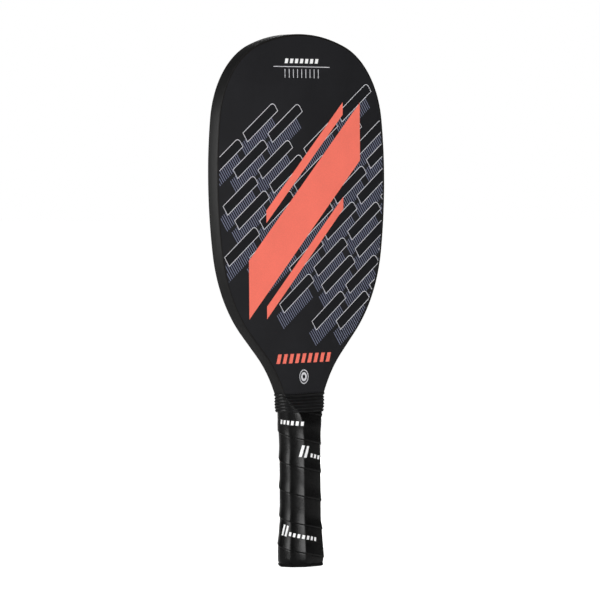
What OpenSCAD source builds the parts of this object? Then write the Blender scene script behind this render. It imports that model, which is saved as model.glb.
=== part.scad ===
// Plywood pickleball paddle with a wound cushion grip.
// The paddle stands on its butt: +Z runs up its length, -Y is the front face, and the origin is
// the middle of the butt's end. Lengths are millimetres and angles are degrees.

/* [Blade] */
// Whole length, from the end of the butt to the top of the blade
paddle_len = 400; // [360:1:480]
// Width of the blade over its edge band
blade_w = 203; // [170:1:244]
// Radius of the crown across the top
crown_r = 166; // [140:1:200]
// Radius of the upper corners
corner_r = 67.5; // [56:0.5:81]
// Radius of the sides above the widest place
side_r = 324; // [270:1:390]
// Angle down from the top at which a corner becomes a side
side_angle = 82.3; // [80:0.1:85]
// Radius of the sides below the widest place
hip_r = 352; // [293:1:422]
// Turn of the lower sides before the shoulders
hip_angle = 9.3; // [8:0.1:11]
// Radius of the shoulders
shoulder_r = 105.5; // [88:0.5:127]
// Lean of the straight flanks that run down to the neck
flank_angle = 47.7; // [46:0.1:52]
// Radius of the hollow where each flank becomes the handle
throat_r = 93; // [78:1:110]

/* [Plies and skins] */
// Thickness of each of the five inner plies
inner_ply_t = 1.4; // [1.1:0.05:1.7]
// Thickness of each face veneer
veneer_t = 0.9; // [0.7:0.05:1.1]
// Thickness of each printed film
film_t = 0.1; // [0.08:0.01:0.3]
// Thickness of the edge band
band_t = 0.8; // [0.6:0.05:1]
// Rounding cut on both edges of the band
band_chamfer = 0.5; // [0.2:0.05:0.6]
// Seam left between a printed film and the band
film_seam = 0.45; // [0.1:0.05:0.6]

/* [Handle] */
// Width of the bare wooden handle
handle_w = 29.8; // [26:0.1:35.8]
// Depth of the bare wooden handle, front to rear
handle_d = 20.2; // [16.8:0.1:24.3]
// Leg of the bevel along each corner of the wooden handle
handle_bevel = 6.6; // [4:0.1:8]

/* [Grip] */
// Thickness of the foam backing
cushion_t = 1.5; // [1:0.1:1.9]
// Thickness of the outer skin
skin_t = 0.8; // [0.5:0.1:1.2]
// Share of its thickness that the wrap keeps at its skived top end
wrap_end_share = 0.7; // [0.4:0.05:1]
// Thickness of the finishing tape
tape_t = 0.15; // [0.1:0.05:0.3]
// Length of the wrap that runs up under the collar
wrap_tuck = 4.5; // [3:0.5:6]
// Radius of the tack's head
tack_head_r = 2; // [1.5:0.1:2.5]
// Radius of the tack's shank
tack_r = 0.6; // [0.4:0.1:0.9]
// Height of the tack above the butt's end
tack_z = 8; // [6:0.5:11]

/* [Collar] */
// Height of the rubber collar
collar_h = 14; // [12:0.5:17]
// Height of the collar's lower edge above the start of the throat
collar_rise = 26; // [22:0.5:31]
// Thickness of the collar between its ribs
collar_wall = 1.2; // [0.8:0.05:1.5]
// Height that each rib stands out
rib_h = 0.4; // [0.2:0.05:0.6]
// Number of ribs round the collar
rib_n = 6; // [4:1:8]

/* [Butt] */
// Thickness of the cap's floor under the wood
cap_floor = 3; // [2.5:0.1:4]
// How far the cap's bare lip stands out from the wood
lip_out = 3.7; // [3.4:0.1:4.4]
// Height of the bare lip
lip_h = 2.5; // [2:0.1:3]
// Thickness of the cap's wall at the flare
cap_wall = 2.5; // [2.2:0.05:3.2]
// Height at which the flare starts to draw in
flare_z = 13; // [11:0.5:15]
// Height of the cap's upper edge
cap_top = 31; // [27:0.5:37]
// Thickness of the cap's upper edge
cap_edge_t = 0.35; // [0.3:0.05:0.6]
// Radius of the medallion
medallion_r = 9; // [7:0.5:9.5]
// Thickness of the medallion
medallion_t = 0.8; // [0.6:0.1:1]
// How far the medallion lies inside the cap's end
medallion_sink = 0.2; // [0.1:0.1:0.4]
// Width of a staple's crown
staple_w = 9; // [7:0.5:10]
// Length of a staple's legs
staple_leg = 5.5; // [4.5:0.5:6]
// Height of the staples above the butt's end
staple_z = 20; // [18:0.5:24]

/* [Hidden] */

front = -1;                  // side of a piece that lies in front of the core
rear = 1;                    // side of a piece that lies behind it
over = 1;                    // how far a cutting shape runs past what it cuts
bevel_grow = 2 - sqrt(2);    // growth of a bevel's leg for each unit that a section grows
least_bevel = 0.2;
round_fn = 64;

inner_half = 2.5 * inner_ply_t;          // half the thickness of the five inner plies
stack_half = inner_half + veneer_t;      // half the thickness of all seven
blade_half = stack_half + film_t;        // half the thickness of the finished blade
wood_half_w = handle_w / 2;
wood_half_d = handle_d / 2;
neck_half_w = wood_half_w + band_t;      // half width of the neck if the band ran on down
bevel_leg = min(handle_bevel, wood_half_d - inner_half);

// The half outline of the blade is a chain of arcs, each tangent to the next. The crown turns
// until the corner and side arcs that follow it end at half the width, and the straight flank
// is as long as it takes to come in to the neck.
crown_angle = asin((blade_w / 2 - side_r + (side_r - corner_r) * sin(side_angle))
                   / (crown_r - corner_r));
wide_z = paddle_len - crown_r * (1 - cos(crown_angle))
         - corner_r * (cos(crown_angle) - cos(side_angle)) - side_r * cos(side_angle);
flank_len = (blade_w / 2 - neck_half_w - hip_r * (1 - cos(hip_angle))
             - shoulder_r * (cos(hip_angle) - cos(flank_angle))
             - throat_r * (1 - cos(flank_angle))) / sin(flank_angle);
throat_z = wide_z - hip_r * sin(hip_angle) - shoulder_r * (sin(flank_angle) - sin(hip_angle))
           - flank_len * cos(flank_angle) - throat_r * sin(flank_angle);

// Heights at the neck. The handle's scales ramp down to the blade under the wrap and collar.
collar_z0 = throat_z + collar_rise;
collar_z1 = collar_z0 + collar_h;
wrap_z1 = collar_z0 + wrap_tuck;
ramp_z0 = collar_z0 - 2;
ramp_z1 = collar_z1 - 2.5;
scale_end_t = 0.4;           // thickness at which a scale's feathered end is cut off
scale_z1 = ramp_z1 - (ramp_z1 - ramp_z0) * scale_end_t / (wood_half_d - stack_half);
cap_fade = 3;                // run over which the wrap closes on the wood above the cap

wire_t = 0.6;                // a staple's wire, across its crown and along it
wire_h = 1.2;
crown_y = wood_half_d + 0.3;
tack_head_t = 0.4;
shank_stop = 1;              // wood left between the tack's end and the veneer

// A run of heights from a up to b, with b left out
function span(a, b, n) = [for (i = [0 : n - 1]) a + (b - a) * i / n];
function reversed(list) = [for (i = [len(list) - 1 : -1 : 0]) list[i]];

low_neck_zs = concat(span(throat_z, ramp_z0, 5), span(ramp_z0, collar_z0, 3),
                     span(collar_z0, wrap_z1, 2), span(wrap_z1, ramp_z1, 3));
high_neck_zs = concat(span(ramp_z1, collar_z1, 2), [collar_z1]);

// Points of an arc round c, as [x, z], from angle a0 to a1 off +Z, with the first left out
function arc(c, r, a0, a1, n) =
    [for (i = [1 : n]) let (a = a0 + (a1 - a0) * i / n) c + r * [sin(a), cos(a)]];

// Half width at height z of the throat's arc, drawn d inside the blade's outline
function throat_x(z, d) =
    neck_half_w + throat_r
    - sqrt(pow(throat_r + d, 2) - pow(max(0, z - throat_z), 2));
function throat_point(z, d) = [throat_x(z, d), z];

// Right half of the blade's outline, drawn d inside it, from the crown down to the ramp's top
function blade_side(d) =
    let (c1 = [0, paddle_len - crown_r],
         c2 = c1 + (crown_r - corner_r) * [sin(crown_angle), cos(crown_angle)],
         c3 = [blade_w / 2 - side_r, wide_z],
         c4 = [blade_w / 2 - hip_r, wide_z],
         hip_end = 90 + hip_angle,
         c5 = c4 + (hip_r - shoulder_r) * [sin(hip_end), cos(hip_end)],
         throat_end = asin((collar_z1 - throat_z) / (throat_r + d)))
    concat([c1 + [0, crown_r - d]],
           arc(c1, crown_r - d, 0, crown_angle, 9),
           arc(c2, corner_r - d, crown_angle, side_angle, 18),
           arc(c3, side_r - d, side_angle, 90, 8),
           arc(c4, hip_r - d, 90, hip_end, 9),
           arc(c5, shoulder_r - d, hip_end, 90 + flank_angle, 14),
           [for (i = [0 : 7]) let (a = flank_angle + (throat_end - flank_angle) * i / 8)
               throat_point(throat_z + (throat_r + d) * sin(a), d)],
           [for (z = reversed(high_neck_zs)) throat_point(z, d)]);

// How far the handle's bevel cuts in from the side of the wood, y away from the middle layer
function bevel_cut(z, y) = max(0, y - wood_y(z) + wood_bevel(z));

// The same half outline at the wood's own edge, taken on down the handle, as it is y away from
// the middle layer
function wood_side(y) =
    [for (p = concat(blade_side(band_t),
                     [for (z = reversed(low_neck_zs)) throat_point(z, band_t)],
                     [[wood_half_w, cap_floor]]))
        [p.x - bevel_cut(p.y, y), p.y]];

// Both halves of an outline that starts on the middle line
function both_sides(half) =
    concat(half, [for (i = [len(half) - 1 : -1 : 1]) [-half[i].x, half[i].y]]);

// Half sizes and bevel of the wooden handle at height z
function wood_x(z) = throat_x(z, band_t);
function wood_y(z) = lookup(z, [[ramp_z0, wood_half_d], [ramp_z1, stack_half]]);
function wood_bevel(z) = lookup(z, [[ramp_z0, bevel_leg], [ramp_z1, 0]]);

// Eight-sided section at height z, grown by gx sideways and gy to the front and rear
function section(z, gx, gy) =
    let (a = wood_x(z) + gx,
         b = wood_y(z) + gy,
         c = max(least_bevel, wood_bevel(z) + bevel_grow * min(gx, gy)))
    [[a, c - b, z], [a, b - c, z], [a - c, b, z], [c - a, b, z],
     [-a, b - c, z], [-a, c - b, z], [c - a, -b, z], [a - c, -b, z]];

// How far each layer's outer surface lies from the wood at height z
function cap_g(z) = lookup(z, [[flare_z, cap_wall], [cap_top, cap_edge_t],
                               [cap_top + cap_fade, 0]]);
function wrap_share(z) = lookup(z, [[ramp_z0, 1], [wrap_z1, wrap_end_share]]);
function cushion_g(z) = cap_g(z) + cushion_t * wrap_share(z);
function skin_g(z) = cap_g(z) + (cushion_t + skin_t) * wrap_share(z);

// The collar's bore fits the taped wrap at its lower end and the blade, blade_g out from the
// wood, at its upper end
function collar_bore(z, blade_g) =
    z < wrap_z1 ? skin_g(z) + tape_t
                : lookup(z, [[wrap_z1, skin_g(wrap_z1) + tape_t], [ramp_z1, blade_g]]);
function band_g(z) = throat_x(z, 0) - wood_x(z);
function rib_out(turn) = let (f = turn - floor(turn)) f > 0.2 && f < 0.8 ? rib_h : 0;

// Solid through a list of rings, each a list of points taken anticlockwise seen from above
module loft(rings) {
    n = len(rings[0]);
    top = (len(rings) - 1) * n;
    polyhedron(
        points = [for (ring = rings) for (p = ring) p],
        faces = concat(
            [[for (i = [0 : n - 1]) i]],
            [for (k = [0 : n : top - n]) for (i = [0 : n - 1])
                [k + i, k + n + i, k + n + (i + 1) % n, k + (i + 1) % n]],
            [[for (i = [n - 1 : -1 : 0]) top + i]]),
        convexity = 6);
}

// Flat board from y0 back to y1, cut to an outline of [x, z] points
module board(outline, y0, y1) {
    translate([0, y1, 0])
        rotate([90, 0, 0])
            linear_extrude(height = y1 - y0)
                polygon(outline);
}

// Puts a piece that is drawn behind the core on the side that is asked for
module on_side(side) {
    mirror([0, side == front ? 1 : 0, 0])
        children();
}

// One of the five inner plies, counted from the core: negative ones lie in front of it
module inner_ply(index) {
    y0 = (index - 0.5) * inner_ply_t;
    color(index % 2 == 0 ? "burlywood" : "tan")
        board(both_sides(wood_side(0)), y0, y0 + inner_ply_t);
}

// A face veneer, whose outer face is narrower where the handle is bevelled
module face_veneer(side) {
    color("wheat")
        difference() {
            on_side(side)
                loft([for (y = [inner_half, stack_half])
                    [for (p = both_sides(wood_side(y))) [p.x, y, p.y]]]);
            staple(side);
        }
}

module print_film(side) {
    color([0.13, 0.13, 0.14])
        on_side(side)
            board(both_sides(blade_side(band_t + film_seam)), stack_half, blade_half);
}

// Strip bonded round the rim, from under the collar on one side to under it on the other
module edge_band() {
    inner = both_sides(blade_side(band_t));
    outer = both_sides(blade_side(0));
    half = len(blade_side(0));
    last = len(outer) - 1;
    path = concat([for (i = [half : last]) i], [for (i = [0 : half - 1]) i]);
    flat = 1 - band_chamfer / band_t;    // share of the band's thickness that is full width
    color([0.2, 0.2, 0.21])
        loft([for (i = path) let (p = inner[i], q = outer[i], m = p + (q - p) * flat)
            [[p.x, -blade_half, p.y], [m.x, -blade_half, m.y],
             [q.x, band_chamfer - blade_half, q.y], [q.x, blade_half - band_chamfer, q.y],
             [m.x, blade_half, m.y], [p.x, blade_half, p.y]]]);
}

// Wooden cheek on one face of the tang, bevelled with it and ramped down at its top
module handle_scale(side) {
    zs = concat([cap_floor], [for (z = low_neck_zs) if (z < scale_z1) z], [scale_z1]);
    color("burlywood")
        difference() {
            on_side(side)
                loft([for (z = zs)
                    let (x0 = wood_x(z) - bevel_cut(z, stack_half),
                         x1 = wood_x(z) - wood_bevel(z))
                    [[x0, stack_half, z], [x1, wood_y(z), z],
                     [-x1, wood_y(z), z], [-x0, stack_half, z]]]);
            staple(side);
            if (side == rear)
                tack_body();
        }
}

// A wire staple driven through the cap into one scale, with its crown along X. The groove is
// what lets the crown lie below the cap's surface.
module staple(side) {
    on_side(side) {
        translate([-staple_w / 2, crown_y, staple_z - wire_h / 2])
            cube([staple_w, wire_t, wire_h]);
        for (x = [-staple_w / 2, staple_w / 2 - wire_t])
            translate([x, crown_y + wire_t - staple_leg, staple_z - wire_h / 2])
                cube([wire_t, staple_leg, wire_h]);
    }
}

module staple_groove(side) {
    on_side(side)
        translate([-staple_w / 2, crown_y, staple_z - wire_h / 2])
            cube([staple_w, cap_wall + over, wire_h]);
}

module butt_cap_staples() {
    color("silver") {
        staple(front);
        staple(rear);
    }
}

// The tack's head lies on the foam, and its shank ends short of the rear veneer
module tack_body() {
    head_y = wood_half_d + cushion_g(tack_z);
    translate([0, head_y, tack_z])
        rotate([90, 0, 0]) {
            cylinder(r = tack_r, h = head_y - stack_half - shank_stop, $fn = round_fn);
            translate([0, 0, -tack_head_t])
                cylinder(r = tack_head_r, h = tack_head_t, $fn = round_fn);
        }
}

module grip_tack() {
    color("silver")
        tack_body();
}

module cap_section(g) {
    polygon([for (p = section(0, g, g)) [p.x, p.y]]);
}

module butt_cap() {
    color([0.1, 0.1, 0.1])
        difference() {
            union() {
                linear_extrude(height = lip_h)
                    cap_section(lip_out);
                linear_extrude(height = flare_z)
                    cap_section(cap_wall);
                loft([for (z = [flare_z, cap_top]) section(z, cap_g(z), cap_g(z))]);
            }
            translate([0, 0, cap_floor])
                linear_extrude(height = cap_top)
                    cap_section(0);
            translate([0, 0, -over])
                cylinder(r = medallion_r, h = over + medallion_sink + medallion_t,
                         $fn = round_fn);
            staple_groove(front);
            staple_groove(rear);
            staple(front);
            staple(rear);
            tack_body();
        }
}

module butt_medallion() {
    color([0.16, 0.16, 0.17])
        translate([0, 0, medallion_sink])
            cylinder(r = medallion_r, h = medallion_t, $fn = round_fn);
}

// Heights at which the grip's section is drawn
grip_zs = concat([lip_h, flare_z, cap_top, cap_top + cap_fade],
                 [for (z = low_neck_zs) if (z < wrap_z1) z], [wrap_z1]);

module grip_cushion() {
    color([0.25, 0.25, 0.25])
        difference() {
            loft([for (z = grip_zs) section(z, cushion_g(z), cushion_g(z))]);
            loft([for (z = [lip_h - over, flare_z, cap_top, cap_top + cap_fade])
                section(z, cap_g(z), cap_g(z))]);
            loft([for (z = concat([cap_top], low_neck_zs)) section(z, 0, 0)]);
            tack_body();
        }
}

module grip_wrap() {
    edge_in = 0.75 * skin_t;    // how far the lower edge of the skin draws in
    edge_h = 2;
    low_zs = [lip_h, lip_h + edge_h / 3, lip_h + edge_h];
    low_in = [edge_in, edge_in / 4, 0];
    color([0.08, 0.08, 0.08])
        difference() {
            loft(concat(
                [for (i = [0 : 2]) let (g = skin_g(low_zs[i]) - low_in[i])
                    section(low_zs[i], g, g)],
                [for (i = [1 : len(grip_zs) - 1])
                    section(grip_zs[i], skin_g(grip_zs[i]), skin_g(grip_zs[i]))]));
            loft([for (z = concat([lip_h - over], [for (z = grip_zs) if (z > lip_h) z],
                                  [wrap_z1 + over]))
                section(z, cushion_g(z), cushion_g(z))]);
            tack_body();
        }
}

module finishing_tape() {
    zs = concat([for (z = low_neck_zs) if (z >= collar_z0 && z < wrap_z1) z], [wrap_z1]);
    color([0.05, 0.05, 0.05])
        difference() {
            loft([for (z = zs) section(z, skin_g(z) + tape_t, skin_g(z) + tape_t)]);
            loft([for (z = concat([collar_z0 - over], zs, [wrap_z1 + over]))
                section(z, skin_g(z), skin_g(z))]);
        }
}

module rubber_collar() {
    pitch = collar_h / rib_n;
    turns = concat([for (i = [0 : rib_n - 1]) for (f = [0, 0.25, 0.75]) i + f], [rib_n]);
    bore_zs = concat([collar_z0 - over], [for (z = low_neck_zs) if (z >= collar_z0) z],
                     high_neck_zs, [collar_z1 + over]);
    color([0.12, 0.12, 0.12])
        difference() {
            loft([for (turn = turns)
                let (z = collar_z0 + turn * pitch, g = collar_wall + rib_out(turn))
                section(z, collar_bore(z, band_g(z)) + g, collar_bore(z, film_t) + g)]);
            loft([for (z = bore_zs)
                section(z, collar_bore(z, band_g(z)), collar_bore(z, film_t))]);
        }
}

print_film(front);  // front_print_film
face_veneer(front);  // front_face_veneer
inner_ply(-2);  // front_cross_ply
inner_ply(-1);  // front_long_ply
inner_ply(0);  // core_ply
inner_ply(1);  // rear_long_ply
inner_ply(2);  // rear_cross_ply
face_veneer(rear);  // rear_face_veneer
print_film(rear);  // rear_print_film
edge_band();
handle_scale(front);  // front_handle_scale
handle_scale(rear);  // rear_handle_scale
butt_cap();
butt_medallion();
butt_cap_staples();
grip_cushion();
grip_tack();
grip_wrap();
finishing_tape();
rubber_collar();
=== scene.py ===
"""Looks of a plywood pickleball paddle with a wound grip, built round its solid parts.

Lengths are metres. +Z runs up the paddle from the end of the butt, -Y is the front face and +X is
the right-hand side seen from the front.
"""

import math

import bmesh
import bpy
from mathutils import Matrix, Vector, noise


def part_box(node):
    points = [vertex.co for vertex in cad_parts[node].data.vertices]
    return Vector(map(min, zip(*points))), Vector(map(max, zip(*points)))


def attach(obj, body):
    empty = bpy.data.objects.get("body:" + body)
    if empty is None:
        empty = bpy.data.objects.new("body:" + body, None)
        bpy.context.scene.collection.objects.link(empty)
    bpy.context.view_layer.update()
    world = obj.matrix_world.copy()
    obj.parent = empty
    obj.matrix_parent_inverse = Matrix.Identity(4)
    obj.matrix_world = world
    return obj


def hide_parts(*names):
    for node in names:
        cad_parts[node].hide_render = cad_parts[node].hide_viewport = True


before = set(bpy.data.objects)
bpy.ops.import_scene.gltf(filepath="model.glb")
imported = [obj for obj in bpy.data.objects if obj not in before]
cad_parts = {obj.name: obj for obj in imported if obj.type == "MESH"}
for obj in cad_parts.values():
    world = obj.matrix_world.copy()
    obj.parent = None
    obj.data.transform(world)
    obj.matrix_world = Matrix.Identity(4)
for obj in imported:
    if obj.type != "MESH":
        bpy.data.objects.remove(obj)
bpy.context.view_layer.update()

MM = 0.001
ROOT = "root"
FRONT = -1
REAR = 1

# Blade outline, an arc chain from the crown down to the neck
PADDLE_LEN = 400 * MM
BLADE_W = 203 * MM
CROWN_R = 166 * MM
CORNER_R = 67.5 * MM
SIDE_R = 324 * MM
SIDE_ANGLE = math.radians(82.3)
HIP_R = 352 * MM
HIP_ANGLE = math.radians(9.3)
SHOULDER_R = 105.5 * MM
FLANK_ANGLE = math.radians(47.7)
THROAT_R = 93 * MM
BAND_T = 0.8 * MM
BAND_ROUND = 0.5 * MM
# The film stops short of the band, and its cut edge is eased
FILM_T = 0.1 * MM
FILM_SEAM = 0.55 * MM
FILM_EASE = 0.06 * MM

# Handle, and what is wound on it and capped over it
WOOD_HALF_W = 14.9 * MM
WOOD_HALF_D = 10.1 * MM
WOOD_BEVEL = 6.6 * MM
LEAST_BEVEL = 0.2 * MM
BEVEL_GROW = 0.48
CUSHION_T = 1.5 * MM
SKIN_T = 0.8 * MM
TAPE_T = 0.15 * MM
CAP_WALL = 2.5 * MM
CAP_EDGE_T = 0.35 * MM
CAP_EDGE_FADE = 3 * MM
WRAP_END_SHARE = 0.7
# Gap left where one piece fits over another
FIT_GAP = 0.02 * MM
# Turned pieces start from a ring this small, which is then merged to close the middle
POLE_R = 0.01 * MM

# Levels taken from the solid parts
lip_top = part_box("grip_wrap")[0].z
wrap_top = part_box("grip_wrap")[1].z
collar_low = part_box("rubber_collar")[0].z
collar_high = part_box("rubber_collar")[1].z
cap_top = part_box("butt_cap")[1].z
film_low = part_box("front_print_film")[0].z
blade_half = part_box("edge_band")[1].y
medallion_low, medallion_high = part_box("butt_medallion")
tack_z = sum(corner.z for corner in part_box("grip_tack")) / 2

# Levels that follow from them: the flare, the ramp from handle to blade, and the neck
flare_z = 13 * MM
ramp_low = collar_low - 2 * MM
ramp_high = collar_high - 2.5 * MM
swell_end = collar_low - 9 * MM
throat_z = collar_low - 26 * MM
neck_half_w = WOOD_HALF_W + BAND_T
stack_half = blade_half - FILM_T


# ---------------------------------------------------------------- outline of the blade


def polar(centre, radius, angle):
    """Point round a centre, at an angle off +Z towards +X, as (x, z)."""
    return centre + radius * Vector((math.sin(angle), math.cos(angle)))


crown_angle = math.asin(
    (BLADE_W / 2 - SIDE_R + (SIDE_R - CORNER_R) * math.sin(SIDE_ANGLE)) / (CROWN_R - CORNER_R)
)
crown_centre = Vector((0, PADDLE_LEN - CROWN_R))
corner_centre = polar(crown_centre, CROWN_R - CORNER_R, crown_angle)
widest_z = corner_centre.y - (SIDE_R - CORNER_R) * math.cos(SIDE_ANGLE)
side_centre = Vector((BLADE_W / 2 - SIDE_R, widest_z))
hip_centre = Vector((BLADE_W / 2 - HIP_R, widest_z))
hip_end = math.pi / 2 + HIP_ANGLE
shoulder_centre = polar(hip_centre, HIP_R - SHOULDER_R, hip_end)

# Each arc's centre, radius, first and last angle, and steps
BLADE_ARCS = (
    (crown_centre, CROWN_R, 0, crown_angle, 14),
    (corner_centre, CORNER_R, crown_angle, SIDE_ANGLE, 30),
    (side_centre, SIDE_R, SIDE_ANGLE, math.pi / 2, 12),
    (hip_centre, HIP_R, math.pi / 2, hip_end, 14),
    (shoulder_centre, SHOULDER_R, hip_end, math.pi / 2 + FLANK_ANGLE, 22),
)
THROAT_STEPS = 18


def throat_x(z, inset=0.0):
    """Half width of the neck at a height, drawn inside the blade's outline."""
    rise = max(0.0, z - throat_z)
    return neck_half_w + THROAT_R - math.sqrt((THROAT_R + inset) ** 2 - rise**2)


def blade_side(inset, low_z):
    """Right half of the outline from the crown down to a height in the neck, as (x, z)."""
    points = [polar(crown_centre, CROWN_R - inset, 0)]
    for centre, radius, first, last, steps in BLADE_ARCS:
        for i in range(1, steps + 1):
            points.append(polar(centre, radius - inset, first + (last - first) * i / steps))
    low_angle = math.asin((low_z - throat_z) / (THROAT_R + inset))
    for i in range(THROAT_STEPS + 1):
        angle = FLANK_ANGLE + (low_angle - FLANK_ANGLE) * i / THROAT_STEPS
        z = throat_z + (THROAT_R + inset) * math.sin(angle)
        points.append(Vector((throat_x(z, inset), z)))
    return points


def both_sides(half):
    """Closed outline from its right half, which starts on the middle line."""
    return half + [Vector((-p.x, p.y)) for p in reversed(half[1:])]


# ---------------------------------------------------------------- mesh helpers


def face_from(bm, points, y):
    """Flat face through (x, z) points, at a distance along Y."""
    return bm.faces.new([bm.verts.new((p.x, y, p.y)) for p in points])


def thicken(bm, faces, y_shift):
    """Raises flat faces into plates whose tops lie y_shift away."""
    raised = bmesh.ops.extrude_face_region(bm, geom=faces, use_keep_orig=True)["geom"]
    tops = [v for v in raised if isinstance(v, bmesh.types.BMVert)]
    bmesh.ops.translate(bm, verts=tops, vec=(0, y_shift, 0))


def cut(bm, point, normal):
    """Removes what lies on the normal's side of a plane, and gives the edges of the cut."""
    everything = bm.verts[:] + bm.edges[:] + bm.faces[:]
    made = bmesh.ops.bisect_plane(
        bm, geom=everything, plane_co=point, plane_no=normal, clear_outer=True, dist=1e-7
    )
    return [e for e in made["geom_cut"] if isinstance(e, bmesh.types.BMEdge)]


def round_edges(bm, edges, radius, segments):
    bmesh.ops.bevel(
        bm, geom=edges, offset=radius, affect="EDGES", segments=segments, profile=0.5, material=-1
    )


def shaped_tube(rings, steps, place):
    """Open tube turned about Z, whose points are then moved by place(turn, ring)."""
    bm = bmesh.new()
    column = [bm.verts.new((1, 0, ring)) for ring in range(rings)]
    edges = [bm.edges.new(pair) for pair in zip(column, column[1:])]
    bmesh.ops.spin(
        bm, geom=column + edges, cent=(0, 0, 0), axis=(0, 0, 1), angle=2 * math.pi,
        steps=steps, use_merge=True,
    )
    for v in bm.verts:
        v.co = place(math.atan2(v.co.y, v.co.x), round(v.co.z))
    return bm


def close_sleeve(bm):
    """Joins the first and last rings of a tube that runs up its outside and down its inside."""
    open_edges = [e for e in bm.edges if e.is_boundary]
    bmesh.ops.bridge_loops(bm, edges=open_edges)


def close_poles(bm):
    """Merges the tiny rings in the middle of a turned piece's ends."""
    bmesh.ops.remove_doubles(bm, verts=bm.verts[:], dist=3 * POLE_R)


def round_point(turn, radius, z):
    return Vector((radius * math.cos(turn), radius * math.sin(turn), z))


def between(z, low, high):
    """How far z has gone from low to high, clamped to 0..1."""
    return min(1.0, max(0.0, (z - low) / (high - low)))


def finish_piece(bm, name, finish, stands_for=(), sharp=35, turn_normals=True):
    """Makes a piece from a bmesh, gives it its finish and puts it on the paddle."""
    if turn_normals:
        bmesh.ops.recalc_face_normals(bm, faces=bm.faces[:])
    mesh = bpy.data.meshes.new(name)
    bm.to_mesh(mesh)
    bm.free()
    mesh.materials.append(finish)
    mesh.polygons.foreach_set("use_smooth", [True] * len(mesh.polygons))
    mesh.set_sharp_from_angle(angle=math.radians(sharp))
    piece = bpy.data.objects.new(name, mesh)
    bpy.context.scene.collection.objects.link(piece)
    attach(piece, ROOT)
    if stands_for:
        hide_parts(*stands_for)
    return piece


# ---------------------------------------------------------------- nodes


class Wire:
    """An output socket. Sums written on wires add Math nodes."""

    def __init__(self, nodes, socket):
        self.nodes = nodes
        self.socket = socket

    def __add__(self, other):
        return self.nodes.maths("ADD", self, other)

    def __mul__(self, other):
        return self.nodes.maths("MULTIPLY", self, other)

    def __rsub__(self, other):
        return self.nodes.maths("SUBTRACT", other, self)

    __radd__ = __add__
    __rmul__ = __mul__


class Nodes:
    """Node tree of a material or of the surround."""

    def __init__(self, owner):
        owner.use_nodes = True
        self.tree = owner.node_tree
        self.tree.nodes.clear()

    def feed(self, socket, value):
        if isinstance(value, Wire):
            self.tree.links.new(value.socket, socket)
        else:
            socket.default_value = value

    def node(self, kind, settings=None, inputs=None, out=0):
        """Adds a node: its settings first, then the values or wires of its sockets."""
        made = self.tree.nodes.new("ShaderNode" + kind)
        for name, value in (settings or {}).items():
            setattr(made, name, value)
        for name, value in (inputs or {}).items():
            self.feed(made.inputs[name], value)
        return Wire(self, made.outputs[out]) if made.outputs else None

    def maths(self, operation, first, second):
        return self.node("Math", {"operation": operation}, {0: first, 1: second})

    def spread(self, value, low, high, to_low=0.0, to_high=1.0):
        """Stretches a value's range from low..high to to_low..to_high, and clamps it."""
        ends = {"From Min": low, "From Max": high, "To Min": to_low, "To Max": to_high}
        return self.node("MapRange", {}, {"Value": value, **ends})

    def seen_pale(self, mirrored):
        """1 for rays that see the pale surround, and mirrored for glossy ones."""
        direct = self.maths(
            "MAXIMUM",
            self.node("LightPath", out="Is Camera Ray"),
            self.node("LightPath", out="Is Transmission Ray"),
        )
        return self.maths("MAXIMUM", direct, self.node("LightPath", out="Is Glossy Ray") * mirrored)


class Finish(Nodes):
    """A material with one Principled shader, and the nodes that feed it."""

    def __init__(self, name):
        self.material = bpy.data.materials.new(name)
        super().__init__(self.material)
        self.shader = self.tree.nodes.new("ShaderNodeBsdfPrincipled")
        self.node("OutputMaterial", {}, {"Surface": Wire(self, self.shader.outputs[0])})
        self.place = self.node("TexCoord", out="Object")

    def stretched(self, scale):
        """Object coordinates scaled along each axis."""
        return self.node("Mapping", {}, {"Vector": self.place, "Scale": scale})

    def noise(self, size, detail, place=None):
        """Noise whose blotches are about size across, from 0 to 1."""
        inputs = {
            "Vector": place or self.place, "Scale": 1 / size, "Detail": detail, "Roughness": 0.55
        }
        return self.node("TexNoise", {}, inputs)

    def cells(self, size, feature):
        """Distance from the middle of the nearest cell, in cells about size across."""
        inputs = {"Vector": self.place, "Scale": 1 / size}
        return self.node("TexVoronoi", {"feature": feature}, inputs, "Distance")

    def mix(self, share, first, second):
        """Mix of two colours. A Mix node keeps its colours in sockets 6 and 7, and 2 comes out."""
        return self.node("Mix", {"data_type": "RGBA"}, {0: share, 6: first, 7: second}, out=2)

    def bump(self, height, depth, strength):
        return self.node("Bump", {}, {"Height": height, "Distance": depth, "Strength": strength})

    def done(self, **sockets):
        """Sets the shader's sockets, named with _ for spaces, and gives the material."""
        for name, value in sockets.items():
            self.feed(self.shader.inputs[name.replace("_", " ")], value)
        return self.material


# ---------------------------------------------------------------- finishes


def grey(level, blue=1.0):
    """Colour of a dark neutral, with a little more blue where asked."""
    return (level, level, level * blue, 1.0)


def shade(colour, share):
    """A colour made darker or lighter all through."""
    return tuple(min(1.0, share * c) for c in colour) + (1.0,)


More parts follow.
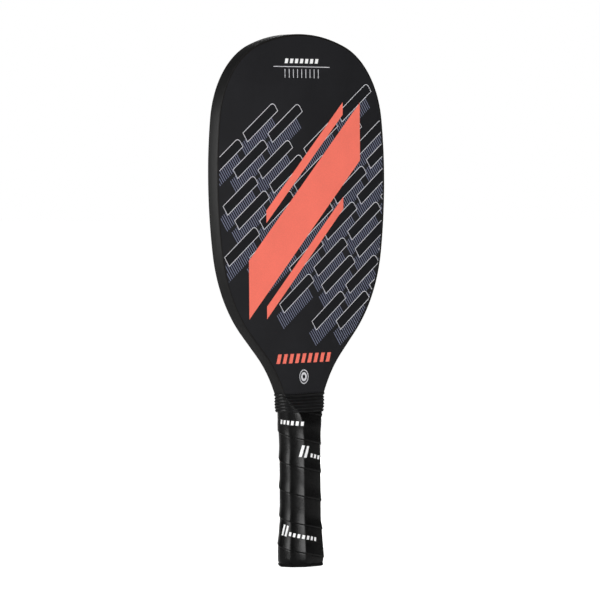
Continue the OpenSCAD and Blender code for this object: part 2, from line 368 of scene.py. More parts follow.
def matte_film():
    """Charcoal print film: almost even, with a fine tooth and faint cloudy patches."""
    f = Finish("matte_film")
    tooth = f.noise(0.35 * MM, detail=2)
    cloud = f.noise(45 * MM, detail=3)
    scuffs = f.noise(3 * MM, detail=6, place=f.stretched((1, 1, 0.12)))
    base = f.mix(f.spread(cloud, 0.35, 0.65), grey(0.0095, 1.15), grey(0.0115, 1.15))
    worn = f.mix(f.spread(scuffs, 0.66, 0.8, 0, 0.2), base, grey(0.025))
    return f.done(
        Base_Color=f.mix(f.spread(tooth, 0.55, 0.75, 0, 0.3), worn, grey(0.018, 1.1)),
        Roughness=f.spread(tooth, 0.3, 0.7, 0.62, 0.78),
        Specular_IOR_Level=0.14,
        Normal=f.bump(tooth, 0.02 * MM, 0.5),
    )


def band_plastic():
    """Dark grey edge band with a fine grain drawn along it."""
    f = Finish("band_plastic")
    grain = f.noise(0.5 * MM, detail=3)
    drawn = f.noise(0.3 * MM, detail=3, place=f.stretched((0.08, 1, 0.08)))
    patch = f.noise(18 * MM, detail=3)
    base = f.mix(f.spread(patch, 0.3, 0.7), grey(0.0085), grey(0.0105))
    return f.done(
        Base_Color=f.mix(f.spread(drawn, 0.5, 0.8, 0, 0.5), base, grey(0.022)),
        Roughness=f.spread(grain, 0.3, 0.7, 0.42, 0.54),
        Specular_IOR_Level=0.18,
        Normal=f.bump(drawn * 0.6 + grain * 0.4, 0.03 * MM, 0.5),
    )


def printed_ink(name, colour, rough=0.6, gloss=0.2):
    """Screen-printed ink: even, with the fine mottle that a mesh screen leaves."""
    f = Finish(name)
    mottle = f.noise(0.6 * MM, detail=3)
    patch = f.noise(30 * MM, detail=2)
    cover = f.spread(mottle * 0.6 + patch * 0.4, 0.35, 0.62)
    return f.done(
        Base_Color=f.mix(cover, shade(colour, 0.9), shade(colour, 1.03)),
        Roughness=f.spread(mottle, 0.3, 0.7, rough - 0.05, rough + 0.08),
        Specular_IOR_Level=gloss,
        Normal=f.bump(mottle, 0.01 * MM, 0.4),
    )


def grip_leather():
    """Satin black grip skin: pebbled grain with fine creases pulled along the winding."""
    f = Finish("grip_leather")
    pebble = f.cells(0.75 * MM, "SMOOTH_F1")
    fine = f.noise(0.25 * MM, detail=3)
    crease = f.noise(2.2 * MM, detail=5, place=f.stretched((0.5, 0.5, 1.4)))
    patch = f.noise(9 * MM, detail=4)
    base = f.mix(f.spread(patch, 0.3, 0.7), grey(0.0008), grey(0.0016))
    height = f.spread(pebble, 0.0, 0.5) * 0.35 + fine * 0.2 + crease * 0.5
    return f.done(
        Base_Color=f.mix(f.spread(pebble, 0.35, 0.6, 0, 0.4), base, grey(0.001)),
        Roughness=f.spread(patch * 0.5 + fine * 0.5, 0.3, 0.7, 0.24, 0.33),
        Specular_IOR_Level=0.2,
        Normal=f.bump(height, 0.09 * MM, 0.6),
    )


def collar_rubber():
    """Satin black rubber with a faint bloom and fine mould texture."""
    f = Finish("collar_rubber")
    tooth = f.noise(0.4 * MM, detail=4)
    bloom = f.noise(5 * MM, detail=4)
    return f.done(
        Base_Color=f.mix(f.spread(bloom, 0.35, 0.7), grey(0.0035), grey(0.006, 1.1)),
        Roughness=f.spread(tooth, 0.3, 0.7, 0.3, 0.42),
        Specular_IOR_Level=0.2,
        Normal=f.bump(tooth, 0.05 * MM, 0.6),
    )


def moulded_plastic(name, low, high, rough, gloss=0.15):
    """Moulded plastic with a spark-eroded texture."""
    f = Finish(name)
    spark = f.noise(0.3 * MM, detail=3)
    patch = f.noise(6 * MM, detail=3)
    return f.done(
        Base_Color=f.mix(f.spread(patch, 0.3, 0.7), grey(low), grey(high)),
        Roughness=f.spread(spark, 0.3, 0.7, rough - 0.06, rough + 0.08),
        Specular_IOR_Level=gloss,
        Normal=f.bump(spark, 0.04 * MM, 0.5),
    )


def veneer_wood(name, light, dark, along, stain=0.0, gloss=0.3):
    """Sliced wood with its grain along X or Z. A stain darkens it all over."""
    f = Finish(name)
    stretch = (0.06, 1, 1) if along == "X" else (1, 1, 0.06)
    fibre = f.noise(0.8 * MM, detail=6, place=f.stretched(stretch))
    figure = f.noise(14 * MM, detail=3, place=f.stretched(stretch))
    pores = f.noise(0.35 * MM, detail=2, place=f.stretched(stretch))
    base = f.mix(f.spread(figure * 0.6 + fibre * 0.4, 0.35, 0.65), shade(dark, 1), shade(light, 1))
    pored = f.mix(f.spread(pores, 0.62, 0.75, 0, 0.5), base, shade(dark, 0.45))
    return f.done(
        Base_Color=f.mix(stain, pored, grey(0.003)),
        Roughness=f.spread(fibre, 0.3, 0.7, 0.55, 0.72),
        Specular_IOR_Level=gloss,
        Normal=f.bump(fibre, 0.05 * MM, 0.6),
    )


def cushion_foam():
    """Dark grey closed-cell foam."""
    f = Finish("cushion_foam")
    cell = f.cells(0.5 * MM, "F1")
    return f.done(
        Base_Color=f.mix(f.spread(cell, 0.1, 0.6), grey(0.07), grey(0.02)),
        Roughness=0.9,
        Specular_IOR_Level=0.1,
        Normal=f.bump(1 - cell, 0.12 * MM, 0.7),
    )


def drawn_steel():
    """Bright steel wire with fine drawing marks."""
    f = Finish("drawn_steel")
    marks = f.noise(0.1 * MM, detail=4, place=f.stretched((0.1, 1, 1)))
    return f.done(
        Base_Color=f.mix(f.spread(marks, 0.3, 0.7), grey(0.5), grey(0.62, 1.03)),
        Metallic=1.0,
        Roughness=f.spread(marks, 0.3, 0.7, 0.25, 0.4),
        Normal=f.bump(marks, 0.01 * MM, 0.5),
    )


film_finish = matte_film()
band_finish = band_plastic()
leather_finish = grip_leather()
rubber_finish = collar_rubber()
cap_finish = moulded_plastic("cap_plastic", low=0.003, high=0.005, rough=0.5, gloss=0.06)
medallion_finish = moulded_plastic("medallion_plastic", low=0.02, high=0.027, rough=0.36)
tape_finish = moulded_plastic("tape_vinyl", low=0.005, high=0.007, rough=0.3)
coral_ink = printed_ink("coral_ink", (0.85, 0.172, 0.122))
line_ink = printed_ink("line_ink", (0.62, 0.62, 0.65))
hatch_ink = printed_ink("hatch_ink", (0.14, 0.152, 0.218))
plate_ink = printed_ink("plate_ink", (0.0078, 0.008, 0.0095), rough=0.7, gloss=0.12)
white_ink = printed_ink("white_ink", (0.85, 0.85, 0.85))
foam_finish = cushion_foam()
steel_finish = drawn_steel()

tan = (0.42, 0.27, 0.14)
stained_veneer = veneer_wood("stained_veneer", (0.62, 0.45, 0.28), tan, "Z", 0.99, 0.02)
cross_wood = veneer_wood("cross_wood", (0.5, 0.35, 0.2), tan, "X")
long_wood = veneer_wood("long_wood", (0.58, 0.41, 0.24), tan, "Z")
scale_wood = veneer_wood("scale_wood", (0.6, 0.43, 0.26), tan, "Z")

# Solid parts that stay as they are, under what is made here
INNER_PARTS = (
    (stained_veneer, ("front_face_veneer", "rear_face_veneer")),
    (cross_wood, ("front_cross_ply", "core_ply", "rear_cross_ply")),
    (long_wood, ("front_long_ply", "rear_long_ply")),
    (scale_wood, ("front_handle_scale", "rear_handle_scale")),
    (steel_finish, ("butt_cap_staples", "grip_tack")),
    (tape_finish, ("finishing_tape",)),
)
for finish, part_names in INNER_PARTS:
    for part_name in part_names:
        part_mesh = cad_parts[part_name].data
        part_mesh.materials.clear()
        part_mesh.materials.append(finish)


# ---------------------------------------------------------------- blade

# Length of band drawn below its end, and then cut off square
BAND_SPARE = 3 * MM


def broad_faces(bm):
    """The front and rear faces of a plate with the blade's outline."""
    return [f for f in bm.faces if abs(f.normal.y) > 0.99 and len(f.verts) > 8]


def edge_band():
    """Band round the rim: a rounded plate of the blade's outline, hollowed to the band's wall."""
    bm = bmesh.new()
    outline = both_sides(blade_side(0, film_low - BAND_SPARE))
    plate = face_from(bm, outline, -blade_half)
    thicken(bm, [plate], 2 * blade_half)
    rims = [e for e in bm.edges if abs(e.verts[0].co.y - e.verts[1].co.y) < blade_half]
    round_edges(bm, rims, BAND_ROUND, 4)
    bmesh.ops.inset_region(
        bm, faces=broad_faces(bm), thickness=BAND_T - BAND_ROUND, use_even_offset=True
    )
    inner = broad_faces(bm)
    loops = [e for f in inner for e in f.edges]
    bmesh.ops.delete(bm, geom=inner, context="FACES_ONLY")
    bmesh.ops.bridge_loops(bm, edges=loops)
    ends = cut(bm, (0, 0, film_low), (0, 0, -1))
    bmesh.ops.holes_fill(bm, edges=ends)
    return finish_piece(bm, "rim_edge_band", band_finish, ["edge_band"])


def side_word(side):
    return "front" if side == FRONT else "rear"


def print_film(side):
    """Printed film on one face, with its cut edge eased over."""
    word = side_word(side)
    bm = bmesh.new()
    outline = both_sides(blade_side(BAND_T + FILM_SEAM, film_low))
    sheet = face_from(bm, outline, side * stack_half)
    thicken(bm, [sheet], side * FILM_T)
    middle_y = blade_half - FILM_T / 2
    rim = [e for e in bm.edges if all(abs(v.co.y) > middle_y for v in e.verts)]
    round_edges(bm, rim, FILM_EASE, 2)
    return finish_piece(
        bm, word + "_face_film", film_finish, [word + "_print_film"], sharp=60
    )


# ---------------------------------------------------------------- printing on the faces

# The pattern's courses of bars climb to the right, and the strokes of its hatching fall to it
COURSE_TILT = math.radians(32.7)
STROKE_TILT = math.radians(-50.6)
COURSE_STEP = 16.3 * MM
FIRST_COURSE = -66 * MM
BAR_STEP = 49.6 * MM
BAR_LEN = 43.5 * MM
BAR_W = 9 * MM
BAR_CORNER = 4 * MM
LINE_W = 0.5 * MM
HATCHES = 19
HATCH_LEN = 13 * MM
HATCH_W = 0.8 * MM
HATCH_SHIFT = Vector((-3 * MM, -8.6 * MM))
# The courses come in sets. Where each set starts along its courses, and its bars in a course
SET_COURSES = 3
SETS = ((-91.9 * MM, 2), (-111.2 * MM, 4), (-75.9 * MM, 4), (-50.6 * MM, 3))

pattern_centre = Vector((0, widest_z))
along = Vector((math.cos(COURSE_TILT), math.sin(COURSE_TILT)))
across = Vector((math.sin(COURSE_TILT), -math.cos(COURSE_TILT)))
stroke = Vector((math.cos(STROKE_TILT), math.sin(STROKE_TILT)))

# Coral stripes: how far off the middle one each lies, its width and its half length
STRIPE_TILT = math.radians(41)
STRIPES = ((0, 33 * MM, 90 * MM), (27 * MM, 7 * MM, 62 * MM), (-27 * MM, 7 * MM, 62 * MM))
stripe_centre = Vector((3 * MM, 268 * MM))

NECK_RINGS_Z = 142.6 * MM
OBLONG = ((-1, -1), (1, -1), (1, 1), (-1, 1))

# Heights of the printed layers above the film
HATCH_H = 0.02 * MM
PLATE_H = 0.035 * MM
LINE_H = 0.05 * MM
CORAL_H = 0.07 * MM

# Printing stops inside the film's edge. None of it goes below the level where the edge is cut to
PRINT_MARGIN = 1.2 * MM
TRIM_LOW = 185 * MM


def pattern_bars():
    """Upper left corner of every bar. Each course is shifted by half a bar's step."""
    for i, (start, count) in enumerate(SETS):
        for course in range(i * SET_COURSES, (i + 1) * SET_COURSES):
            first = start + BAR_STEP / 2 * (course % 2)
            down = across * (FIRST_COURSE + course * COURSE_STEP)
            for k in range(count):
                yield pattern_centre + along * (first + k * BAR_STEP) + down


def slanted_bar(bm, corner, start, length, width):
    """Flat bar that starts a step along the course from a corner, with its ends along a stroke."""
    ends = ((start, 0), (start + length, 0), (start + length, width), (start, width))
    return face_from(bm, [corner + along * p + stroke * q for p, q in ends], -blade_half)


def drawn_hatching():
    """Fine strokes that fill a shifted copy of each bar."""
    bm = bmesh.new()
    for corner in pattern_bars():
        for i in range(HATCHES):
            slanted_bar(bm, corner + HATCH_SHIFT, i * BAR_LEN / HATCHES, HATCH_W, HATCH_LEN)
    return bm


def drawn_plates():
    """Dark plate of every bar, with its leading corner rounded."""
    bm = bmesh.new()
    for corner in pattern_bars():
        plate = slanted_bar(bm, corner, 0, BAR_LEN, BAR_W)
        bmesh.ops.bevel(
            bm, geom=[plate.verts[1]], offset=BAR_CORNER, affect="VERTICES",
            segments=6, profile=0.5, material=-1,
        )
    return bm


def drawn_lines():
    """Outline round each plate."""
    bm = drawn_plates()
    plates = bm.faces[:]
    bmesh.ops.inset_individual(bm, faces=plates, thickness=LINE_W, use_even_offset=True)
    bmesh.ops.delete(bm, geom=plates, context="FACES_ONLY")
    return bm


def coral_stripes():
    """Wide stripe between two narrow ones, with their ends cut upright."""
    bm = bmesh.new()
    run = Vector((math.cos(STRIPE_TILT), math.sin(STRIPE_TILT)))
    up = Vector((-run.y, run.x))
    for off, width, half in STRIPES:
        points = []
        for end, edge in OBLONG:
            rise = off + edge * width / 2
            reach = end * half + rise * math.tan(STRIPE_TILT)
            points.append(stripe_centre + run * reach + up * rise)
        face_from(bm, points, -blade_half)
    return bm


def dash_row(bm, z, half, count, width, height, lean=0.0):
    """Row of slanted dashes centred on the middle line."""
    for i in range(count):
        x = -half + width / 2 + (2 * half - width) * i / (count - 1)
        points = [Vector((x + s * width / 2 + t * lean, z + t * height / 2)) for s, t in OBLONG]
        face_from(bm, points, -blade_half)


def ring(bm, outer, inner, z):
    """Flat ring on the middle line of the face."""
    made = bmesh.ops.create_circle(bm, cap_ends=True, segments=48, radius=outer)
    upright = Matrix.Rotation(math.pi / 2, 3, "X")
    bmesh.ops.rotate(bm, verts=made["verts"], cent=(0, 0, 0), matrix=upright)
    bmesh.ops.translate(bm, verts=made["verts"], vec=(0, -blade_half, z))
    disc = made["verts"][0].link_faces[0]
    bmesh.ops.inset_individual(bm, faces=[disc], thickness=outer - inner)
    bmesh.ops.delete(bm, geom=[disc], context="FACES_ONLY")


def coral_dashes():
    """Row of coral dashes above the neck."""
    bm = bmesh.new()
    dash_row(
        bm, z=156.6 * MM, half=32 * MM, count=9, width=4.2 * MM, height=7 * MM, lean=1.2 * MM
    )
    return bm


def white_dashes():
    """Short row of bold white dashes near the crown."""
    bm = bmesh.new()
    dash_row(
        bm, z=379.7 * MM, half=20 * MM, count=7, width=3.6 * MM, height=3.4 * MM, lean=0.5 * MM
    )
    return bm


def grey_rule():
    """Thin rule in two halves with fine ticks under it near the crown, and rings at the neck."""
    bm = bmesh.new()
    dash_row(bm, z=375.4 * MM, half=34 * MM, count=2, width=34 * MM, height=0.5 * MM)
    dash_row(bm, z=370.3 * MM, half=20.5 * MM, count=9, width=0.7 * MM, height=6.6 * MM)
    ring(bm, outer=5.4 * MM, inner=4.7 * MM, z=NECK_RINGS_Z)
    ring(bm, outer=3.4 * MM, inner=1.6 * MM, z=NECK_RINGS_Z)
    return bm


def trim_to_blade(bm):
    """Cuts printing off just inside the film's edge."""
    edge = both_sides(blade_side(BAND_T + FILM_SEAM + PRINT_MARGIN, film_low))
    for i in range(0, len(edge), 2):
        here = edge[i]
        there = edge[(i + 2) % len(edge)]
        if min(here.y, there.y) < TRIM_LOW or (there - here).length < 1e-6:
            continue
        run = (there - here).normalized()
        cut(bm, (here.x, 0, here.y), (-run.y, 0, run.x))


# Each printed layer: its name, its drawing, its ink and its height
LAYERS = (
    ("hatching", drawn_hatching, hatch_ink, HATCH_H),
    ("pattern_plates", drawn_plates, plate_ink, PLATE_H),
    ("pattern_lines", drawn_lines, line_ink, LINE_H),
    ("coral_stripes", coral_stripes, coral_ink, CORAL_H),
    ("coral_dashes", coral_dashes, coral_ink, LINE_H),
    ("white_dashes", white_dashes, white_ink, LINE_H),
    ("grey_rule", grey_rule, line_ink, LINE_H),
)


def print_face(side):
    """Prints every layer. The rear face takes the front's drawings, turned half round."""
    for name, drawing, ink, height in LAYERS:
        bm = drawing()
        trim_to_blade(bm)
        thicken(bm, bm.faces[:], -height)
        if side == REAR:
            half_turn = Matrix.Rotation(math.pi, 3, "Z")
            bmesh.ops.rotate(bm, verts=bm.verts[:], cent=(0, 0, 0), matrix=half_turn)
        finish_piece(bm, side_word(side) + "_" + name, ink)


# ---------------------------------------------------------------- handle sections

# A side's crown falls by no more than this share of its half width, and goes on falling past
# the side's ends until it is this many times as deep
STEEPEST_CROWN = 0.115
CROWN_REACH = 1.5
# Sides turned further from a direction than this cosine don't shape the section there
LEAST_FACING = 0.05


def cap_out(z):
    """How far the butt cap stands out from the wood at a height."""
    if z < cap_top:
        return CAP_WALL + (CAP_EDGE_T - CAP_WALL) * between(z, flare_z, cap_top)
    return CAP_EDGE_T * (1 - between(z, cap_top, cap_top + CAP_EDGE_FADE))


def skin_out(z):
    """How far the wound skin stands out from the wood. It thins towards its upper end."""
    share = 1 - (1 - WRAP_END_SHARE) * between(z, ramp_low, wrap_top)
    return cap_out(z) + (CUSHION_T + SKIN_T) * share


def section_sizes(z, out_x, out_y):
    """Half width, half depth and bevel leg of the handle's section, grown outwards."""
    ramp = between(z, ramp_low, ramp_high)
    half_w = throat_x(z, BAND_T) + out_x
    half_d = WOOD_HALF_D + (stack_half - WOOD_HALF_D) * ramp + out_y
    leg = max(LEAST_BEVEL, WOOD_BEVEL * (1 - ramp) + BEVEL_GROW * min(out_x, out_y))
    return half_w, half_d, leg


def section_point(turn, z, sizes, crown=0.0, sharpness=60, depth=0.0):
    """Point on an eight-sided section whose sides are crowned and whose corners are round.

    Each side swells by the crown in its middle. The sides' distances are blended with a high
    power, the sharpness, which is what rounds the corners. The depth is how far inside it lies.
    """
    half_w, half_d, leg = sizes
    angle = math.atan2(half_d * math.sin(turn), half_w * math.cos(turn))
    total = 0.0
    for k in range(8):
        lean = angle - k * math.pi / 4
        if math.cos(lean) < LEAST_FACING:
            continue
        middle = 0.0
        if k % 2:
            distance = (half_w + half_d - leg) / math.sqrt(2)
            half_side = leg / math.sqrt(2)
            middle = (half_d - half_w) / math.sqrt(2) * (1 if k % 4 == 1 else -1)
        elif k % 4:
            distance = half_d
            half_side = half_w - leg
        else:
            distance = half_w
            half_side = half_d - leg
        off_middle = (distance * math.tan(lean) - middle) / half_side
        fall = min(crown, STEEPEST_CROWN * half_side) * min(off_middle**2, CROWN_REACH)
        total += (half_w * math.cos(lean) / (distance - fall)) ** sharpness
    radius = half_w * total ** (-1 / sharpness) - depth
    return round_point(angle, radius, z)


# ---------------------------------------------------------------- grip

# The strip: its winding, and how its surface falls from its rounded lower edge to its tuck
PITCH = 21.3 * MM
STRIP_W = 24.6 * MM
STRIP_T = 0.36 * MM
EDGE_ROUND = 0.45 * MM
EDGE_REACH = 0.9 * MM
SEAM_STEP = 0.6 * MM
STEP_START = 1 * MM
STEP_END = 8 * MM
TUCK = 0.4 * MM
# Where the lower edge of a turn crosses the section's front left corner
SEAM_TURN = math.radians(241.6)
SEAM_Z = 9.9 * MM
AROUND = 144
# Steps across the strip in mm, closer together where its edge rounds over and where it tucks
STRIP_STEPS = (
    0, 0.12, 0.3, 0.5, 0.75, 1, 1.6, 2.4, 3.5, 5, 7,
    9, 11, 13, 15, 17, 19,
    20.4, 21, 21.4, 22, 22.6, 24.6,
)

# How far the middle of each side swells, and how far the whole grip does above the flare
GRIP_CROWN = 0.65 * MM
SWELL = 1.0 * MM
GRIP_SHARPNESS = 110
SLACK = 0.16 * MM
# How far the grip draws in over the bare lip, and how high that goes
DRAW_IN = 0.9 * MM
DRAW_IN_H = 2.6 * MM
# Rise over the head of the tack, how far round it is level, and where it has faded out
TACK_RISE = 0.55 * MM
TACK_LEVEL = 3.2 * MM
TACK_FADE = 6 * MM

FOAM_GAP = 0.45 * MM
FOAM_STEPS = 40
FOAM_BORE_SHARPNESS = 160

# Each run of marks on the grip: the height and turn where it starts, how far it runs round and
# how far it falls on the way, how many dashes it has, their height, and their lean as a share
# of their width
GRIP_MARKS = (
    (109.3 * MM, 165, 80, 1.8 * MM, 6, 3.2 * MM, 0.35),
    (87.6 * MM, 224, 28, 1.4 * MM, 2, 9.0 * MM, 1.2),
    (83.9 * MM, 259, 54, 3.4 * MM, 4, 3.0 * MM, 0.35),
    (28.4 * MM, 164, 26, 1.4 * MM, 2, 8.5 * MM, 1.2),
    (25.2 * MM, 193, 86, 5.0 * MM, 7, 3.0 * MM, 0.35),
)
DASH_SHARE = 0.56
MARK_LIFT = 0.03 * MM


def strip_depth(t):
    """How deep the strip's surface lies under the grip's full size, t up from its lower edge."""
    edge = EDGE_ROUND * (1 - between(t, 0, EDGE_REACH)) ** 2
    fall = SEAM_STEP * between(t, STEP_START, STEP_END) ** 0.8
    tuck = TUCK * between(t, PITCH - 0.3 * MM, PITCH + 1.2 * MM)
    return edge + fall + tuck


def surface_depth(turn, z):
    """Depth of the uppermost turn of the strip at a place on the grip."""
    seam = SEAM_Z + PITCH * (SEAM_TURN - turn) / (2 * math.pi)
    return strip_depth((z - seam) % PITCH)


def swell(z):
    """How far the padding swells past its bare size, between the flare and the collar."""
    return SWELL * between(z, flare_z, cap_top) * (1 - between(z, swell_end, collar_low))


def slack(turn, z, size):
    """Unevenness of the winding, from 0 to 1, in lumps about size high."""
    return 0.5 + 0.5 * noise.noise(round_point(turn, 2.2, z / size))


def tack_rise(turn, z):
    """How far the strip rises over the head of the tack, on the rear of the butt."""
    if math.sin(turn) < 0:
        return 0.0
    away = math.hypot(WOOD_HALF_W * math.cos(turn), z - tack_z)
    return TACK_RISE * (1 - between(away, TACK_LEVEL, TACK_FADE))


def grip_point(turn, z, depth):
    """Point on the wound grip, depth under its full size."""
    out = skin_out(z) + swell(z)
    uneven = 0.65 * slack(turn, z, 9 * MM) + 0.35 * slack(turn * 3, z, 3 * MM)
    drawn_in = DRAW_IN * (1 - between(z, lip_top, lip_top + DRAW_IN_H)) ** 2
    inward = depth + drawn_in + SLACK * uneven - tack_rise(turn, z)
    return section_point(turn, z, section_sizes(z, out, out), GRIP_CROWN, GRIP_SHARPNESS, inward)


def grip_strip():
    """The leather strip, wound from the butt to the collar with each turn over the last."""
    first = (lip_top - STRIP_W - SEAM_Z) / PITCH
    last = (wrap_top - SEAM_Z) / PITCH
    columns = math.ceil((last - first) * AROUND)
    rows = len(STRIP_STEPS) - 1
    bm = bmesh.new()
    bmesh.ops.create_grid(bm, x_segments=columns, y_segments=rows, size=0.5)
    for v in bm.verts:
        t = STRIP_STEPS[round((v.co.y + 0.5) * rows)] * MM
        winds = first + (last - first) * (v.co.x + 0.5)
        turn = SEAM_TURN - 2 * math.pi * winds
        v.co = grip_point(turn, SEAM_Z + PITCH * winds + t, strip_depth(t))
    cut(bm, (0, 0, lip_top), (0, 0, -1))
    cut(bm, (0, 0, wrap_top), (0, 0, 1))
    bmesh.ops.recalc_face_normals(bm, faces=bm.faces[:])
    outermost = max(bm.faces, key=lambda f: f.calc_center_median().x)
    if outermost.normal.x < 0:
        bmesh.ops.reverse_faces(bm, faces=bm.faces[:])
    bmesh.ops.solidify(bm, geom=bm.faces[:], thickness=STRIP_T)
    return finish_piece(
        bm, "wound_grip_strip", leather_finish, ["grip_wrap"], sharp=50
    )


def foam_sleeve():
    """Foam under the strip, filling from the wood and the cap out to the strip's back."""
    step = (wrap_top - lip_top) / FOAM_STEPS
    heights = [lip_top + step * i for i in range(FOAM_STEPS + 1)]

    def place(turn, ring):
        if ring < len(heights):
            return grip_point(turn, heights[ring], SEAM_STEP + STRIP_T + FOAM_GAP)
        z = heights[2 * len(heights) - 1 - ring]
        out = cap_out(z) + FIT_GAP
        return section_point(turn, z, section_sizes(z, out, out), 0.0, FOAM_BORE_SHARPNESS)

    bm = shaped_tube(2 * len(heights), 64, place)
    close_sleeve(bm)
    piece = finish_piece(bm, "foam_cushion_sleeve", foam_finish, ["grip_cushion"])
    return piece


def grip_marks():
    """Runs of plain slanted white dashes printed along the wound strip."""
    bm = bmesh.new()
    for z_start, start, reach, drop, count, height, lean in GRIP_MARKS:
        wide = DASH_SHARE / count
        for i in range(count):
            dash = bmesh.ops.create_grid(bm, x_segments=6, y_segments=6, size=0.5)
            for v in dash["verts"]:
                share = i / count + wide * (v.co.x + 0.5 + lean * (v.co.y + 0.5))
                turn = math.radians(start + reach * share)
                z = z_start - drop * share + height * v.co.y
                v.co = grip_point(turn, z, surface_depth(turn, z) - MARK_LIFT)
    return finish_piece(bm, "grip_white_marks", white_ink, turn_normals=False)


# ---------------------------------------------------------------- collar

COLLAR_WALL = 1.2 * MM
COLLAR_CROWN = 0.4 * MM
COLLAR_SHARPNESS = 26
RIBS = 6
RIB_RINGS = 12
RIB_H = 0.4 * MM
GROOVE = 0.25 * MM
COLLAR_WAVE = 0.28 * MM


def collar_bore(z, over_blade):
    """How far out the collar's inside lies, going from over the wrap to over the blade."""
    over_wrap = skin_out(min(z, wrap_top)) + TAPE_T
    share = between(z, wrap_top, ramp_high)
    return over_wrap * (1 - share) + over_blade * share


def collar_thickness(turn, z):
    """Wall of the collar, thin at its stretched lower end, with uneven round ribs on it."""
    up = between(z, collar_low, collar_high)
    rib = (0.5 - 0.5 * math.cos(2 * math.pi * RIBS * up)) ** 0.8
    uneven = noise.noise(round_point(turn, 3, z / (2 * MM)))
    wall = COLLAR_WALL * (0.5 + 0.5 * up) - GROOVE
    return wall + (RIB_H + GROOVE) * rib * (0.85 + 0.3 * uneven)


def rubber_collar():
    """Rubber collar with round ribs, stretched from the wound grip up over the neck."""
    steps = RIB_RINGS * RIBS
    heights = [collar_low + (collar_high - collar_low) * i / steps for i in range(steps + 1)]

    def place(turn, ring):
        outside = ring < len(heights)
        z = heights[ring] if outside else heights[2 * len(heights) - 1 - ring]
        out_x = collar_bore(z, throat_x(z) - throat_x(z, BAND_T))
        out_y = collar_bore(z, FILM_T)
        if outside:
            thickness = collar_thickness(turn, z)
            sizes = section_sizes(z, out_x + thickness, out_y + thickness)
            point = section_point(turn, z, sizes, COLLAR_CROWN, COLLAR_SHARPNESS)
        else:
            point = section_point(turn, z, section_sizes(z, out_x, out_y))
        wave = COLLAR_WAVE * math.sin(3 * turn + 1.1) * math.sin(turn)
        point.z = min(collar_high, z + wave * between(z, collar_low, collar_high))
        return point

    bm = shaped_tube(2 * len(heights), 144, place)
    close_sleeve(bm)
    return finish_piece(
        bm, "ribbed_rubber_collar", rubber_finish, ["rubber_collar"], sharp=60
    )


# ---------------------------------------------------------------- butt

LIP_OUT = 3.7 * MM
LIP_SOFT = 1.5 * MM
LIP_STEPS = 5
LIP_CHAMFER = 0.25 * MM
LIP_CROWN = 0.1 * MM
CAP_FLOOR = 3 * MM
RECESS_R = 9.1 * MM
RECESS_Z = 1.0 * MM
RECESS_DRAFT = 0.15 * MM
# Radius and rise in mm of the disc's face, from its middle out: a shallow dish, a groove, a flat
# ring, a second groove and a rolled rim
MEDALLION_FACE = (
    (0.0, 0.15), (2.6, 0.12), (3.0, 0.3), (3.5, 0.3), (3.9, 0.1), (7.0, 0.1), (7.3, 0.28),
    (7.7, 0.28), (8.0, 0.02), (8.6, 0.0), (8.9, 0.12), (9.0, 0.4),
)


def butt_cap():
    """Cap on the butt: a rounded bare lip, a floor with a round recess, and a skirt."""
    recess = [(POLE_R, RECESS_Z), (RECESS_R, RECESS_Z), (RECESS_R + RECESS_DRAFT, 0.0)]
    # Rings of the wall, each with its height and how far out from the wood it lies
    wall = []
    for i in range(LIP_STEPS + 1):
        a = math.pi / 2 * i / LIP_STEPS
        wall.append((LIP_SOFT * (1 - math.cos(a)), LIP_OUT - LIP_SOFT * (1 - math.sin(a))))
    wall += [(lip_top - LIP_CHAMFER, LIP_OUT), (lip_top, LIP_OUT - LIP_CHAMFER)]
    wall += [(lip_top, CAP_WALL), (flare_z, CAP_WALL), (cap_top, CAP_EDGE_T)]
    wall += [(cap_top, FIT_GAP), (CAP_FLOOR, FIT_GAP)]
    wall_end = len(recess) + len(wall)

    def place(turn, ring):
        if ring < len(recess):
            return round_point(turn, *recess[ring])
        if ring == wall_end:
            return round_point(turn, POLE_R, CAP_FLOOR)
        z, out = wall[ring - len(recess)]
        return section_point(turn, z, section_sizes(z, out, out), LIP_CROWN)

    bm = shaped_tube(wall_end + 1, 128, place)
    close_poles(bm)
    return finish_piece(bm, "flared_butt_cap", cap_finish, ["butt_cap"], sharp=40)


def butt_medallion():
    """Plain turned disc in the butt's end."""
    profile = [(r * MM, medallion_low.z + rise * MM) for r, rise in MEDALLION_FACE]
    profile += [(medallion_high.x, medallion_high.z), (0.0, medallion_high.z)]
    bm = shaped_tube(len(profile), 96, lambda turn, ring: round_point(turn, *profile[ring]))
    close_poles(bm)
    return finish_piece(
        bm, "butt_end_medallion", medallion_finish, ["butt_medallion"]
    )


edge_band()
print_film(FRONT)
print_film(REAR)
print_face(FRONT)
print_face(REAR)
grip_strip()
foam_sleeve()
rubber_collar()
butt_cap()
butt_medallion()
grip_marks()


# ---------------------------------------------------------------- camera, floor and light

CAMERA_TURN = math.radians(-51.72)
CAMERA_RISE = math.radians(0.064)
CAMERA_ROLL = math.radians(-0.43)
CAMERA_REACH = 4.136
LENS_MM = 330
SENSOR_MM = 36
VIEW_Z = 283 * MM
AIM_DROP = 82.8 * MM
AIM_SIDE = 1.0 * MM
SOFTBOX_REACH = 1.6
SOFTBOX_H = 1.3
FLOOR_HALF = 30
FLOOR_DROP = 0.2 * MM


def outward(turn, rise):
    """Direction from the paddle to something seen at that turn and rise."""
    flat = math.cos(rise)
    return Vector((math.sin(turn) * flat, -math.cos(turn) * flat, math.sin(rise)))


def look_at(obj, place, aim, roll=0.0):
    """Puts a camera or a lamp at a place, facing its aim."""
    obj.location = place
    facing = (aim - place).to_track_quat("-Z", "Y")
    obj.rotation_mode = "QUATERNION"
    obj.rotation_quaternion = facing @ Matrix.Rotation(roll, 4, "Z").to_quaternion()
    bpy.context.scene.collection.objects.link(obj)


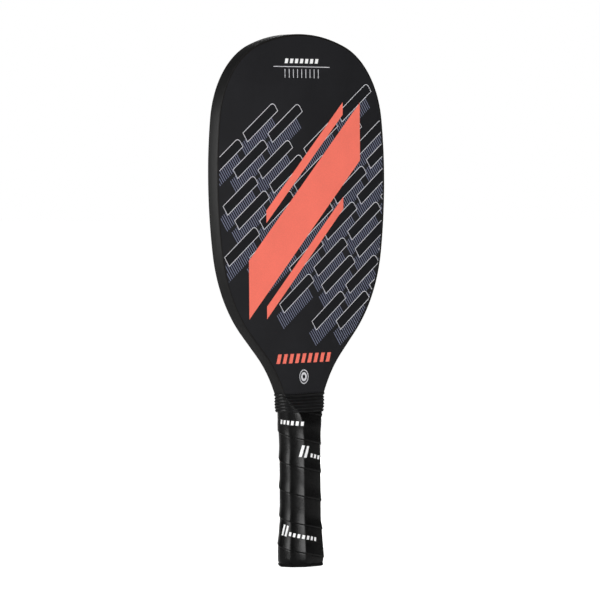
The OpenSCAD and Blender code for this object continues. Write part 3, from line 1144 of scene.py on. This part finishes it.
def camera():
    data = bpy.data.cameras.new("camera")
    data.lens = LENS_MM
    data.sensor_width = SENSOR_MM
    data.clip_start = 0.1
    data.clip_end = 100
    obj = bpy.data.objects.new("camera", data)
    middle = Vector((0, 0, VIEW_Z))
    rightwards = Vector((math.cos(CAMERA_TURN), math.sin(CAMERA_TURN), 0))
    aim = middle - Vector((0, 0, AIM_DROP)) + rightwards * AIM_SIDE
    look_at(obj, middle + outward(CAMERA_TURN, CAMERA_RISE) * CAMERA_REACH, aim, CAMERA_ROLL)
    bpy.context.scene.camera = obj


def softbox(name, turn, rise, width, watts):
    """Upright soft lamp, its turn and rise in degrees."""
    data = bpy.data.lights.new(name, "AREA")
    data.shape = "RECTANGLE"
    data.size = width
    data.size_y = SOFTBOX_H
    data.energy = watts
    obj = bpy.data.objects.new(name, data)
    obj.visible_camera = False
    middle = Vector((0, 0, PADDLE_LEN / 2))
    place = middle + outward(math.radians(turn), math.radians(rise)) * SOFTBOX_REACH
    look_at(obj, place, middle)


def surround(pale, ambient):
    """Pale backdrop all round. Only the part that the camera faces is mirrored as pale."""
    world = bpy.data.worlds.new("studio")
    bpy.context.scene.world = world
    studio = Nodes(world)
    toward = studio.node("TexCoord", out="Generated")
    facing = studio.node(
        "VectorMath",
        {"operation": "DOT_PRODUCT"},
        {0: toward, 1: -outward(CAMERA_TURN, 0)},
        out="Value",
    )
    behind = studio.spread(facing, 0.75, 1.0, 0.0, 0.4)
    strength = studio.spread(studio.seen_pale(behind), 0.0, 1.0, ambient, pale)
    backdrop = studio.node("Background", {}, {"Color": (1, 1, 1, 1), "Strength": strength})
    studio.node("OutputWorld", {}, {"Surface": backdrop})


def studio_floor(own_light, mirrored, colour):
    """Pale floor that keeps the paddle's shadow."""
    bm = bmesh.new()
    bmesh.ops.create_grid(bm, x_segments=1, y_segments=1, size=FLOOR_HALF)
    mesh = bpy.data.meshes.new("studio_floor")
    bm.to_mesh(mesh)
    bm.free()
    floor = bpy.data.objects.new("studio_floor", mesh)
    floor.location.z = -FLOOR_DROP
    bpy.context.scene.collection.objects.link(floor)
    material = bpy.data.materials.new("floor_paper")
    studio = Nodes(material)
    paper = studio.node("BsdfDiffuse", {}, {"Color": (colour, colour, colour, 1)})
    glow = studio.node("Emission", {}, {"Strength": studio.seen_pale(mirrored) * own_light})
    both = studio.node("AddShader", {}, {0: paper, 1: glow})
    studio.node("OutputMaterial", {}, {"Surface": both})
    mesh.materials.append(material)


bpy.context.scene.view_settings.view_transform = "Standard"
camera()
softbox("softbox_left", turn=-108, rise=4, width=0.6, watts=26)
softbox("softbox_right", turn=-20, rise=6, width=0.7, watts=31)
softbox("softbox_behind", turn=118, rise=5, width=0.6, watts=20)
surround(pale=1.0, ambient=0.085)
studio_floor(own_light=0.96, mirrored=0.15, colour=0.6)
